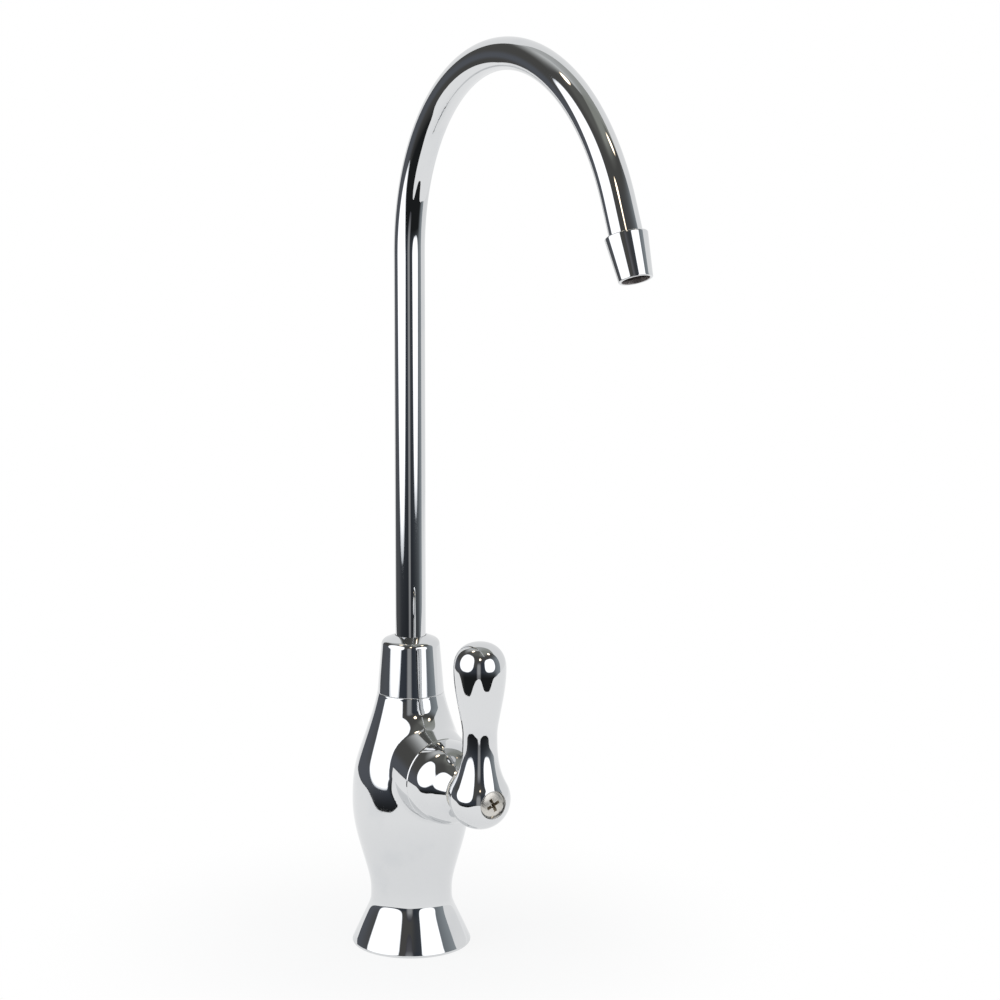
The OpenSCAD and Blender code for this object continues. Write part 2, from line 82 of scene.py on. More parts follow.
socket_floor = 72.5 * mm
waterway_r = 3.6 * mm
waterway_top = valve_z + waterway_r
shank_hole_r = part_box("shank")[1].x + 0.05 * mm
shank_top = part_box("shank")[1].z
gasket_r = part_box("base_gasket")[1].x + 0.05 * mm
gasket_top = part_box("base_gasket")[1].z
spigot_r = 8.2 * mm
chamber_r = 8.5 * mm
chamber_floor = 8.5 * mm
port_r = 2.2 * mm
casting_sides = 192


def run(start, pull, brake, end, steps=30):
    """Points of a smooth run between two points, with the pull that each end has along its own direction."""
    t = np.linspace(0, 1, steps + 1)[1:, None]
    near, far = start + np.array(pull), end - np.array(brake)
    return start * (1 - t) ** 3 + 3 * near * t * (1 - t) ** 2 + 3 * far * t ** 2 * (1 - t) + end * t ** 3


def arc(centre, radius, first, last, steps=10):
    """Points round part of a circle, from one angle to another in radians."""
    a = np.linspace(first, last, steps + 1)
    return np.array(centre) + radius * np.column_stack([np.cos(a), np.sin(a)])


def eased(corners, closed=True, steps=5):
    """An outline through corners given as (radius, height, easing), with each corner eased by that length."""
    points = []
    spots = [np.array(corner[:2], float) for corner in corners]
    for i, (here, easing) in enumerate(zip(spots, [corner[2] for corner in corners])):
        if easing == 0 or (not closed and i in (0, len(spots) - 1)):
            points.append(here)
            continue
        before = spots[i - 1] - here
        after = spots[(i + 1) % len(spots)] - here
        start = here + before / np.linalg.norm(before) * easing
        end = here + after / np.linalg.norm(after) * easing
        for t in np.linspace(0, 1, steps + 1):
            points.append(start * (1 - t) ** 2 + 2 * here * t * (1 - t) + end * t ** 2)
    return np.array(points)


def across(outline, closed):
    """The direction out of the material at each point of an outline that keeps the material on its left."""
    ahead = np.roll(outline, -1, axis=0) - np.roll(outline, 1, axis=0)
    if not closed:
        ahead[0] = (1, 0)
        ahead[-1] = (-1, 0)
    out = np.column_stack([ahead[:, 1], -ahead[:, 0]])
    return out / np.linalg.norm(out, axis=1, keepdims=True)


def turned(name, outline, place=Matrix(), sides=128, closed=True):
    """A mesh turned about Z from an outline of (radius, height) points, with exact normals, then placed."""
    angles = np.linspace(0, 2 * math.pi, sides, endpoint=False)
    spots, normals, first, faces = [], [], [], []
    for (r, h), (out_r, out_h) in zip(outline, across(outline, closed)):
        first.append(len(spots))
        on_axis = r < 1e-8
        for a in angles[:1] if on_axis else angles:
            spots.append((r * math.cos(a), r * math.sin(a), h))
            normals.append((0, 0, out_h) if on_axis else (out_r * math.cos(a), out_r * math.sin(a), out_h))
    count = len(first)
    sizes = np.diff(first + [len(spots)])
    for i in range(count if closed else count - 1):
        low, high = first[i], first[(i + 1) % count]
        low_round, high_round = sizes[i] > 1, sizes[(i + 1) % count] > 1
        for j in range(sides):
            k = (j + 1) % sides
            if low_round and high_round:
                faces.append((low + j, low + k, high + k, high + j))
            elif low_round:
                faces.append((low + j, low + k, high))
            elif high_round:
                faces.append((low, high + k, high + j))
    matrix = np.array(place)
    mesh = bpy.data.meshes.new(name)
    mesh.from_pydata((np.array(spots) @ matrix[:3, :3].T + matrix[:3, 3]).tolist(), [], faces)
    mesh.shade_smooth()
    mesh.normals_split_custom_set_from_vertices((np.array(normals) @ matrix[:3, :3].T).tolist())
    return mesh


def add(name, mesh):
    """A new object for a mesh, in the scene."""
    piece = bpy.data.objects.new(name, mesh)
    bpy.context.scene.collection.objects.link(piece)
    return piece


def settled(piece):
    """A plain mesh of an object with its modifiers worked in. The object itself is taken away."""
    now = piece.evaluated_get(bpy.context.evaluated_depsgraph_get())
    mesh = bpy.data.meshes.new_from_object(now)
    bpy.data.objects.remove(piece)
    return mesh


def machined(name, blank, joined=(), kept=(), cut=()):
    """A blank fused with some solids, trimmed to others and cut by others, as one plain mesh."""
    piece = add(name, blank)
    helpers = []
    for operation, tools in (("UNION", joined), ("INTERSECT", kept), ("DIFFERENCE", cut)):
        for tool in tools:
            helpers.append(add(tool.name, tool))
            step = piece.modifiers.new(tool.name, "BOOLEAN")
            step.operation = operation
            step.solver = "MANIFOLD"
            step.object = helpers[-1]
    mesh = settled(piece)
    for helper in helpers:
        bpy.data.objects.remove(helper)
    mesh.name = name
    return mesh


def polished(mesh, surface, reach):
    """Gives corners on a smooth surface its exact normal. The others keep theirs, creased at edges."""
    mesh.shade_smooth()
    mesh.set_sharp_from_angle(angle=math.radians(32))
    points = np.array([v.co for v in mesh.vertices], float)
    gap, normals = surface(points)
    owner = np.array([loop.vertex_index for loop in mesh.loops])
    facing = np.repeat([p.normal for p in mesh.polygons], [p.loop_total for p in mesh.polygons], axis=0)
    smooth = (np.abs(gap[owner]) < reach) & ((facing * normals[owner]).sum(axis=1) > 0.8)
    chosen = np.where(smooth[:, None], normals[owner], 0)
    mesh.normals_split_custom_set(chosen.tolist())


def along_valve(distance=0):
    """Places a turned piece on the valve's axis, with its height running to the front."""
    return Matrix.Translation((0, -distance, valve_z)) @ Matrix.Rotation(math.radians(90), 4, "X")


foot_round = arc((foot_r - foot_edge, foot_edge), foot_edge, math.radians(-90), foot_lean)
flank = foot_round[-1]
foot_way = np.array((-math.tan(foot_lean), 1))
shoulder_pull = (shoulder[1] - belly[1]) / 3
neck_pull = (neck[1] - shoulder[1]) / 3
shoulder_way = np.array((-math.tan(shoulder_lean), 1))
neck_way = np.array((-math.tan(neck_lean), 1))
vase = np.vstack([
    foot_round,
    run(flank, foot_hold * foot_way, (0, waist_fall), waist),
    run(waist, (0, waist_hold), (0, belly_hold), belly, 44),
    run(belly, (0, shoulder_pull), shoulder_pull * shoulder_way, shoulder),
    run(shoulder, neck_pull * shoulder_way, neck_pull * neck_way, neck, 40)[:-1],
])
bores = eased([
    (0, waterway_top, 0), (waterway_r, waterway_top, seam_ease), (waterway_r, shank_top, seam_ease),
    (shank_hole_r, shank_top, seam_ease), (shank_hole_r, gasket_top, seam_ease),
    (gasket_r, gasket_top, seam_ease), (gasket_r, 0, seam_ease), (vase[0][0], 0, 0),
], closed=False)[:-1]
top = eased([
    (vase[-1][0], vase[-1][1], 0), (neck_r, seam_z, seam_ease), (spigot_r, seam_z, seam_ease),
    (spigot_r, spigot_top, seam_ease), (socket_r, spigot_top, seam_ease),
    (socket_r, socket_floor, seam_ease), (0, socket_floor, 0),
], closed=False)[1:]
boss_back = 5 * mm
boss_side = [(boss_r, d, 0) for d in np.linspace(boss_back, boss_reach - 2 * groove_half, 34)]
boss = eased([
    (0, boss_back, 0), *boss_side, (boss_r, boss_reach - groove_half, groove_ease),
    (boss_r - groove_depth, boss_reach, groove_root_ease), (0, boss_reach, 0),
], closed=False)
past = 1 * mm


def boss_radius(x, y, z):
    """The boss's radius at a point: plain at its face, and growing backwards over its top like a roof."""
    aloft = np.clip((z - valve_z) / np.hypot(x, z - valve_z).clip(1e-9), 0, 1)
    return boss_r + roof_rise * aloft ** 1.5 * np.maximum(boss_reach + y, 0)


boss_mesh = turned("boss", boss, along_valve(), 128, False)
for v in boss_mesh.vertices:
    growth = boss_radius(*v.co) / boss_r
    v.co = (v.co.x * growth, v.co.y, valve_z + (v.co.z - valve_z) * growth)


def drill(name, radius, low, high, place, sides=64):
    """A plain solid between two heights, round or with a few flat sides, to cut with or to join."""
    return turned(name, np.array([(0, low), (radius, low), (radius, high), (0, high)]), place, sides, False)


moving_disc_back = -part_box("moving_disc")[1].y
disc_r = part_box("moving_disc")[1].x
port_foot = Vector((0, -moving_disc_back, valve_z + disc_r))
port_head = Vector((0, 0, socket_floor + 2 * port_r))
port_turn = (port_head - port_foot).to_track_quat("Z", "Y").to_matrix().to_4x4()
casting = machined(
    "vase_casting", turned("vase", np.vstack([bores, vase, top]), sides=casting_sides, closed=False),
    joined=[boss_mesh],
    cut=[drill("chamber", chamber_r, chamber_floor, boss_reach + past, along_valve()),
         drill("inlet_port", waterway_r, 0, chamber_floor + past, along_valve()),
         drill("outlet_port", port_r, 0, (port_head - port_foot).length,
               Matrix.Translation(port_foot) @ port_turn)])


skin_reach = 0.01 * mm
no_fillet = (1e-9, 1e-9)


def casting_gap(points, fillets=(side_fillet, top_fillet)):
    """How far points lie outside the vase and the boss, with the corner between them filled by a fillet."""
    x, y, z = points.T
    aloft = np.clip((z - valve_z) / np.hypot(x, z - valve_z).clip(1e-9), 0, 1)
    blend = fillets[0] + (fillets[1] - fillets[0]) * aloft ** 8
    lean = np.gradient(vase[:, 0], vase[:, 1])
    slope = np.interp(z, vase[:, 1], 1 / np.hypot(1, lean))
    side = (np.hypot(x, y) - np.interp(z, vase[:, 1], vase[:, 0])) * slope
    nose = np.where(y < 0, np.hypot(x, z - valve_z) - boss_radius(x, y, z), 1)
    corner = np.hypot(np.maximum(blend - side, 0), np.maximum(blend - nose, 0))
    return np.maximum(blend, np.minimum(side, nose)) - corner


def casting_surface(points):
    """The gap to the casting's skin, and the direction out of it."""
    step = 0.002 * mm
    rises = [casting_gap(points + step * way) - casting_gap(points - step * way) for way in np.eye(3)]
    slope = np.column_stack(rises) / (2 * step)
    return casting_gap(points), slope / np.linalg.norm(slope, axis=1, keepdims=True)


skin = np.array([v.co for v in casting.vertices], float)
outside = np.abs(casting_gap(skin, no_fillet)) < 2 * skin_reach
outside &= (skin[:, 2] > foot_edge) & (skin[:, 2] < seam_z - seam_ease)
for step in range(8):
    gap, out = casting_surface(skin[outside])
    skin[outside] -= gap[:, None] * out
casting.vertices.foreach_set("co", skin.astype(np.float32).ravel())
casting.update()
polished(casting, casting_surface, skin_reach)


class Flow:
    """A socket of a node tree. Arithmetic on it adds Math nodes, and node() adds any other node."""

    def __init__(self, tree, socket=None):
        self.tree = tree
        self.socket = socket

    def node(self, kind, settings=(), inputs=(), output=0):
        made = self.tree.nodes.new(kind)
        for key, value in dict(settings).items():
            setattr(made, key, value)
        for key, value in dict(inputs).items():
            if isinstance(value, Flow):
                self.tree.links.new(value.socket, made.inputs[key])
            else:
                made.inputs[key].default_value = value
        return Flow(self.tree, made.outputs[output] if len(made.outputs) else None)

    def beside(self, output):
        return Flow(self.tree, self.socket.node.outputs[output])

    def math(self, operation, *values):
        return self.node("ShaderNodeMath", {"operation": operation}, dict(enumerate(values)))

    def __add__(self, other):
        return self.math("ADD", self, other)

    def __sub__(self, other):
        return self.math("SUBTRACT", self, other)

    def __rsub__(self, other):
        return self.math("SUBTRACT", other, self)

    def __mul__(self, other):
        return self.math("MULTIPLY", self, other)

    def __truediv__(self, other):
        return self.math("DIVIDE", self, other)

    __radd__ = __add__
    __rmul__ = __mul__


def blank_material(name):
    """A new material with an empty node tree, and a Flow to start its nodes from."""
    material = bpy.data.materials.new(name)
    material.use_nodes = True
    material.node_tree.nodes.clear()
    return material, Flow(material.node_tree)


def patches(start, scale, low, high, detail=3.0):
    """A soft mask of scattered patches, from noise on the piece's own coordinates."""
    place = start.node("ShaderNodeTexCoord", output="Object")
    noise = start.node("ShaderNodeTexNoise", {}, {"Vector": place, "Scale": scale, "Detail": detail}, "Fac")
    return start.node("ShaderNodeMapRange", {"interpolation_type": "SMOOTHSTEP"},
                      {"Value": noise, "From Min": low, "From Max": high}, "Result")


def mixed(start, share, one, other):
    """A colour between two others, by a share from 0 to 1."""
    return start.node("ShaderNodeMix", {"data_type": "RGBA"}, {0: share, 6: one, 7: other}, 2)


def bumped(start, height, depth):
    """A normal for small bumps, from a height between 0 and 1 and the depth of the bumps."""
    return start.node("ShaderNodeBump", {}, {"Height": height, "Strength": 1.0, "Distance": depth}, "Normal")


def shaded(start, inputs):
    """Ends a material in one shader with these inputs."""
    shader = start.node("ShaderNodeBsdfPrincipled", {}, inputs)
    start.node("ShaderNodeOutputMaterial", {}, {"Surface": shader})


chrome_colour = (0.715, 0.725, 0.735, 1)
chrome_shade = (0.675, 0.69, 0.705, 1)


def chrome_plate(name, swell):
    """Mirror chrome on polished brass, with the polishing wheel's faint swell and a few wiped patches."""
    material, start = blank_material(name)
    wiped = patches(start, 60, 0.5, 0.75)
    fine = patches(start, 900, 0.35, 0.75, 2.0)
    wave = patches(start, 55, 0.0, 1.0, 1.0)
    shaded(start, {
        "Base Color": mixed(start, wiped, chrome_colour, chrome_shade), "Metallic": 1.0,
        "Roughness": 0.025 + 0.03 * wiped + 0.012 * fine, "Normal": bumped(start, wave, swell)})
    return material


vase_casting = add("vase_casting", casting)
casting.materials.clear()
casting.materials.append(chrome_plate("casting_chrome", 0.02 * mm))
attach(vase_casting, "base")
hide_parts("body")

# The collar: a tapered nut turned from brass bar and chromed, screwed on the casting's spigot.
# Its crown is a low cone with a plain hole close round the spout tube, and it holds the spout in its socket.
collar_low, collar_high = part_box("spout_collar")
tube_r = 9.525 / 2 * mm
collar_hole_r = tube_r + 0.12 * mm
collar_hole_ease = 0.08 * mm
collar_edge_r = 9.05 * mm
collar_edge_z = seam_z + 16.5 * mm
collar_edge_ease = 1.3 * mm
crown_top = collar_high.z + 0.3 * mm
collar_bore_r = spigot_r + 0.05 * mm
ceiling_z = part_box("upper_slip_ring")[1].z
collar_outline = eased([
    (neck_r, collar_low.z, seam_ease), (collar_edge_r, collar_edge_z, collar_edge_ease),
    (collar_hole_r, crown_top, collar_hole_ease), (collar_hole_r, ceiling_z, bore_ease),
    (collar_bore_r, ceiling_z, bore_ease), (collar_bore_r, collar_low.z, seam_ease),
], steps=8)
turned_chrome = chrome_plate("turned_chrome", 0.008 * mm)
collar_nut = add("collar_nut", turned("collar_nut", collar_outline, sides=160))
collar_nut.data.materials.append(turned_chrome)
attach(collar_nut, "base")
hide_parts("spout_collar")

# The spout: one length of drawn brass tube, bent over a former into a gooseneck, polished and chromed.
# Its foot is brazed in the ferrule under the collar, so that the whole spout swivels.
tube_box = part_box("spout_tube")
tube_wall = 1 * mm
bend_r = 63.7 * mm
bend_z = tube_box[1].z - bend_r - tube_r
bend_sweep = math.radians(155.5)
tip_len = 12.8 * mm
spout_run = 22.3 * mm
tip_grip = 6 * mm
tube_run = spout_run - tip_len + tip_grip


def node_group(name, labels):
    """A geometry node tree with a geometry in and out, named sizes and a finish, and Flows for them."""
    tree = bpy.data.node_groups.new(name, "GeometryNodeTree")
    tree.interface.new_socket("Geometry", in_out="INPUT", socket_type="NodeSocketGeometry")
    for label in labels:
        tree.interface.new_socket(label, in_out="INPUT", socket_type="NodeSocketFloat")
    tree.interface.new_socket("Finish", in_out="INPUT", socket_type="NodeSocketMaterial")
    tree.interface.new_socket("Geometry", in_out="OUTPUT", socket_type="NodeSocketGeometry")
    first = Flow(tree).node("NodeGroupInput", output="Geometry")
    return tree, first, {label: first.beside(label) for label in (*labels, "Finish")}


def finish_group(first, geometry, material):
    """Ends a geometry node tree in real geometry with its material set."""
    real = first.node("GeometryNodeRealizeInstances", {}, {"Geometry": geometry})
    painted = first.node("GeometryNodeSetMaterial", {}, {"Geometry": real, "Material": material})
    first.node("NodeGroupOutput", {}, {"Geometry": painted})


def apply_group(piece, tree, values):
    """Puts a geometry node tree on an object, with its inputs set by their labels."""
    modifier = piece.modifiers.new(tree.name, "NODES")
    modifier.node_group = tree
    for item in tree.interface.items_tree:
        if item.in_out == "INPUT" and item.name in values:
            modifier[item.identifier] = values[item.name]


tree, first, size = node_group("gooseneck", [
    "Tube radius", "Foot height", "Bend height", "Bend radius", "Sweep", "End run"])
rise = size["Bend height"] - size["Foot height"]
bend = size["Bend radius"] * size["Sweep"]
line = first.node("GeometryNodeCurvePrimitiveLine", {}, {"End": (0, 0, 1)})
line = first.node("GeometryNodeResampleCurve", {}, {"Curve": line, "Count": 300})
gone = first.node("GeometryNodeSplineParameter", output="Factor") * (rise + bend + size["End run"])
angle = first.math("MINIMUM", first.math("MAXIMUM", gone - rise, 0) / size["Bend radius"], size["Sweep"])
tail = first.math("MAXIMUM", gone - rise - bend, 0)
forward = size["Bend radius"] * (1 - first.math("COSINE", angle)) + tail * first.math("SINE", size["Sweep"])
climb = first.math("MINIMUM", gone, rise) + size["Bend radius"] * first.math("SINE", angle)
height = size["Foot height"] + climb + tail * first.math("COSINE", size["Sweep"])
spot = first.node("ShaderNodeCombineXYZ", {}, {"Y": 0 - forward, "Z": height})
path = first.node("GeometryNodeSetPosition", {}, {"Geometry": line, "Position": spot})
section = first.node("GeometryNodeCurvePrimitiveCircle", {}, {
    "Resolution": 88, "Radius": size["Tube radius"]})
pipe = first.node("GeometryNodeCurveToMesh", {}, {"Curve": path, "Profile Curve": section})
smooth = first.node("GeometryNodeSetShadeSmooth", {}, {"Geometry": pipe})
finish_group(first, smooth, size["Finish"])

tube_chrome = chrome_plate("tube_chrome", 0.004 * mm)
gooseneck = add("gooseneck", bpy.data.meshes.new("gooseneck"))
apply_group(gooseneck, tree, {
    "Tube radius": tube_r, "Foot height": tube_box[0].z, "Bend height": bend_z, "Bend radius": bend_r,
    "Sweep": bend_sweep, "End run": tube_run, "Finish": tube_chrome})
wall = gooseneck.modifiers.new("wall", "SOLIDIFY")
wall.thickness = tube_wall
wall.offset = -1
tube_mesh = settled(gooseneck)
tube_mesh.set_sharp_from_angle(angle=math.radians(32))
gooseneck_tube = add("gooseneck_tube", tube_mesh)
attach(gooseneck_tube, "spout")
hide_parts("spout_tube")

# The outlet tip: a short conical piece turned from brass and chromed, pushed over the tube's end.
# Its upper end makes a ledge round the tube, and its lower face has the outlet's bore, dull with lime.
tip_top_r = 6.1 * mm
tip_end_r = 4.8 * mm
outlet_r = 4.2 * mm
lip_r = 3.9 * mm
lip_depth = 1.2 * mm
ledge_ease = 0.45 * mm
lip_ease = 0.3 * mm
tip_seat_r = tube_r + 0.055 * mm
flow_way = Vector((0, -math.sin(bend_sweep), math.cos(bend_sweep)))
bend_end = Vector((0, -bend_r * (1 - math.cos(bend_sweep)), bend_z + bend_r * math.sin(bend_sweep)))
tip_place = Matrix.Translation(bend_end + flow_way * (spout_run - tip_len)) \
    @ flow_way.to_track_quat("Z", "Y").to_matrix().to_4x4()
tip_outline = eased([
    (tip_seat_r, 0, bore_ease), (tip_top_r, 0, ledge_ease), (tip_end_r, tip_len, lip_ease),
    (lip_r, tip_len, lip_ease), (lip_r, tip_len - lip_depth, seam_ease),
    (outlet_r, tip_len - 2 * lip_depth, seam_ease), (outlet_r, tip_grip, bore_ease),
    (tip_seat_r, tip_grip, bore_ease),
])
outlet_tip = add("outlet_tip", turned("outlet_tip", tip_outline, tip_place))
outlet_tip.data.materials.append(turned_chrome)
bore_metal, start = blank_material("bore_metal")
bore_colour = (0.36, 0.33, 0.32, 1)
lime_colour = (0.46, 0.43, 0.42, 1)
limed = patches(start, 500, 0.35, 0.7)
shaded(start, {
    "Base Color": mixed(start, limed, bore_colour, lime_colour), "Metallic": 1.0,
    "Roughness": 0.5 + 0.2 * limed})
outlet_tip.data.materials.append(bore_metal)
for face in outlet_tip.data.polygons:
    off_axis = face.center - tip_place.translation
    off_axis -= flow_way * off_axis.dot(flow_way)
    face.material_index = 1 if face.normal.dot(off_axis) < -0.7 * off_axis.length else 0
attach(outlet_tip, "spout")
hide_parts("spout_tip")

# The bonnet: a bell-shaped cover turned from brass and chromed, screwed on the valve cartridge's neck.
# It closes on the boss's end face with a fine seam, and its flat nose carries the handle's washer.
nose_front = -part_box("bonnet")[0].y
nose = np.array((7.2 * mm, nose_front))
nose_lean = math.radians(22)
nose_back = nose_front - 1 * mm
bonnet_rim = np.array((boss_r, boss_reach + 2 * groove_half))
bonnet_edge = np.array((9.8 * mm, boss_reach + 10.4 * mm))
bonnet_edge_lean = math.radians(44)
rim_pull = 6.2 * mm
edge_pull = 2.8 * mm
nose_ease = 0.15 * mm
stem_pass_r = 4.3 * mm
hex_flats = 18 * mm
hex_room_r = hex_flats / math.sqrt(3) + 0.3 * mm
hex_front = boss_reach + 3.55 * mm
bonnet_bore_r = 6.25 * mm
edge_way = np.array((-math.sin(bonnet_edge_lean), math.cos(bonnet_edge_lean)))
nose_way = np.array((-math.sin(nose_lean), math.cos(nose_lean)))
nose_pull = np.linalg.norm(nose - bonnet_edge) / 3
bell = np.vstack([
    bonnet_rim,
    run(bonnet_rim, (0, rim_pull), edge_way * edge_pull, bonnet_edge, 36),
    run(bonnet_edge, edge_way * nose_pull, nose_way * nose_pull, nose, 24)[:-1],
])
bell_end = eased([(*bell[-1], 0), (*nose, nose_ease), (stem_pass_r, nose_front, 0)], closed=False)[1:-1]
bonnet_inside = eased([
    (stem_pass_r, nose_front, bore_ease), (stem_pass_r, nose_back, bore_ease),
    (bonnet_bore_r, nose_back, bore_ease), (bonnet_bore_r, hex_front, bore_ease),
    (hex_room_r, hex_front, bore_ease), (hex_room_r, boss_reach, bore_ease),
    (boss_r - groove_depth, boss_reach, groove_root_ease),
    (boss_r, boss_reach + groove_half, groove_ease), (*bonnet_rim, 0),
], closed=False)[:-1]
bonnet_outline = np.vstack([bonnet_inside, bell, bell_end])
valve_bonnet = add("valve_bonnet", turned("valve_bonnet", bonnet_outline, along_valve(), 160))
valve_bonnet.data.materials.append(turned_chrome)
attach(valve_bonnet, "base")
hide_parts("bonnet")

# The lever: a round hub, a waisted arm and a domed knob, turned in one piece from brass and chromed.
# A short skirt behind the hub meets the bonnet, a square socket takes the stem, and a counterbore the screw.
lever_d = -frame["joints"][0]["pos_m"][1]
hub_r = 9.4 * mm
hub_slope = 0.55
arm = np.array((5.3, 20.2)) * mm
knob = np.array((8.03, 40.5)) * mm
knob_dome = 8.3 * mm
knob_fullness = 2.3
skirt_r = 6.8 * mm
skirt_back = -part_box("handle")[1].y
square_half = 2.85 * mm
square_depth = 8.8 * mm
screw_hole_r = 2.3 * mm
screw_low, screw_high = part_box("handle_screw")
screw_front = -screw_low.y
head_r = screw_high.x + 0.2 * mm
head_height = 2.4 * mm
head_seat = screw_front - head_height
head_room_r = head_r + 0.05 * mm
rim = lever_d + math.sqrt(hub_r ** 2 - head_room_r ** 2)
rim_ease = 0.1 * mm
hub_angle = math.atan(hub_slope)
hub_join = hub_r * np.array((math.cos(hub_angle), math.sin(hub_angle)))
arm_pull = (arm[1] - hub_join[1]) / 3
waist_pull = 4 * mm
knob_pull = 7.5 * mm
dome_turn = np.linspace(0, math.pi / 2, 73)[1:]
dome_power = 2 / knob_fullness
knob_top = np.column_stack([knob[0] * np.maximum(np.cos(dome_turn), 0) ** dome_power,
                            knob[1] + knob_dome * np.sin(dome_turn) ** dome_power])
knob_top[-1][0] = 0
lever_outline = np.vstack([
    (0, -hub_r), arc((0, 0), hub_r, -math.pi / 2, hub_angle, 56)[1:],
    run(hub_join, arm_pull * np.array((-hub_slope, 1)), (0, arm_pull), arm),
    run(arm, (0, waist_pull), (0, knob_pull), knob, 36), knob_top,
])
lever_at = Matrix.Translation((0, -lever_d, valve_z))
rim_corner = arc((head_room_r + rim_ease, rim - rim_ease), rim_ease, math.pi, math.radians(130), 6)
counterbore = np.vstack([
    (0, head_seat), (head_room_r, head_seat), rim_corner,
    (head_room_r + 2 * rim_ease, rim_corner[-1][1] + 0.02 * mm),
    (head_room_r + 2 * rim_ease, lever_d + hub_r + past), (0, lever_d + hub_r + past)])
square_corner = square_half * math.sqrt(2)
square_at = along_valve() @ Matrix.Rotation(math.radians(45), 4, "Z")
lever_mesh = machined(
    "turned_lever", turned("lever", lever_outline, lever_at, 160, False),
    joined=[drill("skirt", skirt_r, skirt_back, lever_d, along_valve())],
    cut=[drill("back", hub_r, skirt_back - hub_r, skirt_back, along_valve()),
         drill("square", square_corner, skirt_back - past, skirt_back + square_depth, square_at, 4),
         drill("screw_hole", screw_hole_r, skirt_back, head_seat + past, along_valve()),
         turned("counterbore", counterbore, along_valve(), 128, False)])


def lever_surface(points):
    """The gap from points to the turned lever's outline, and the direction out of it there."""
    east, north, up = (points - np.array(lever_at.translation)).T
    reach = np.hypot(east, north)
    start, way = lever_outline[:-1], np.diff(lever_outline, axis=0)
    to_r, to_h = reach[:, None] - start[:, 0], up[:, None] - start[:, 1]
    share = np.clip((to_r * way[:, 0] + to_h * way[:, 1]) / (way ** 2).sum(axis=1), 0, 1)
    away = np.hypot(to_r - share * way[:, 0], to_h - share * way[:, 1])
    best = away.argmin(axis=1)
    rows = np.arange(len(points))
    share = share[rows, best][:, None]
    out = across(lever_outline, False)
    out = out[best] * (1 - share) + out[best + 1] * share
    round_ = np.column_stack([east, north]) / np.maximum(reach, 1e-9)[:, None]
    return away[rows, best], np.column_stack([out[:, :1] * round_, out[:, 1]])


polished(lever_mesh, lever_surface, skin_reach)
turned_lever = add("turned_lever", lever_mesh)
lever_mesh.materials.clear()
lever_mesh.materials.append(turned_chrome)
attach(turned_lever, "lever")
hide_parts("handle")

# The lever's screw: a stainless pan-head machine screw with a cross recess, sunk in the hub's counterbore.
# It pulls the hub against the stem's square end. Its thread is rolled, its head keeps faint turning rings,
# and its recess is painted dark, as painted shade.
screw_r = 2 * mm
screw_tip = -screw_high.y
screw_chamfer = 0.5 * mm
screw_pitch = 0.7 * mm
screw_thread_depth = 0.4 * mm
thread_low = screw_tip + screw_chamfer
thread_high = head_seat - 0.6 * mm
head_side = 1.1 * mm
head_ease = 0.15 * mm
head_turn = np.linspace(0, math.pi / 2, 17)
head_fullness = 2 / 2.4
head_dome = np.column_stack([
    head_r * np.cos(head_turn).clip(0) ** head_fullness,
    head_seat + head_side + (screw_front - head_seat - head_side) * np.sin(head_turn) ** head_fullness])
head_dome[-1][0] = 0
thread_rows = [(screw_r, h, 0) for h in np.arange(thread_low, thread_high, screw_pitch / 10)]
screw_side = eased([
    (0, screw_tip, 0), (screw_r - screw_chamfer, screw_tip, 0), *thread_rows, (screw_r, head_seat, bore_ease),
    (head_r, head_seat, head_ease), (head_r, head_seat + head_side, 0),
], closed=False)
screw_outline = np.vstack([screw_side, head_dome])
thread_tree, first, size = node_group("cut_thread", ["Outer radius", "Pitch", "Depth", "Low", "High"])
spot = first.node("GeometryNodeInputPosition")
parts = first.node("ShaderNodeSeparateXYZ", {}, {"Vector": spot})
east, north, up = parts, parts.beside("Y"), parts.beside("Z")
reach = first.math("SQRT", east * east + north * north)
turn = first.math("ARCTAN2", north, east) / (2 * math.pi)
phase = first.math("FRACT", up / size["Pitch"] - turn)
groove = 1 - first.math("ABSOLUTE", phase * 2 - 1)
ends = first.math("MINIMUM", (up - size["Low"]) / size["Pitch"], (size["High"] - up) / size["Pitch"])
faded = first.math("MINIMUM", first.math("MAXIMUM", ends, 0), 1)
on_crest = first.math("GREATER_THAN", reach, size["Outer radius"] * 0.995)
shrink = 1 - on_crest * groove * faded * size["Depth"] / size["Outer radius"]
moved = first.node("ShaderNodeCombineXYZ", {}, {"X": east * shrink, "Y": north * shrink, "Z": up})
cut = first.node("GeometryNodeSetPosition", {}, {"Geometry": first, "Position": moved})
finish_group(first, cut, size["Finish"])


def threaded(name, mesh, outer_r, pitch, depth, low, high, material):
    """A turned mesh with a screw thread cut in its outer wall between two heights."""
    piece = add(name, mesh)
    apply_group(piece, thread_tree, {
        "Outer radius": outer_r, "Pitch": pitch, "Depth": depth, "Low": low, "High": high,
        "Finish": material})
    result = settled(piece)
    result.shade_smooth()
    result.set_sharp_from_angle(angle=math.radians(35))
    return result


def turned_metal(name, colour, dark, roughness, marks, depth, axis):
    """Bare metal off a lathe: fine tool marks along its axis, with a little tarnish."""
    material, start = blank_material(name)
    place = start.node("ShaderNodeTexCoord", output="Object")
    parts = start.node("ShaderNodeSeparateXYZ", {}, {"Vector": place})
    along = parts.beside(axis)
    rings = start.node("ShaderNodeTexNoise", {"noise_dimensions": "1D"},
                       {"W": along * marks, "Detail": 2.0}, "Fac")
    dull = patches(start, 220, 0.4, 0.75)
    shaded(start, {
        "Base Color": mixed(start, dull, colour, dark), "Metallic": 1.0,
        "Roughness": roughness + 0.1 * dull + 0.06 * rings, "Normal": bumped(start, rings, depth)})
    return material


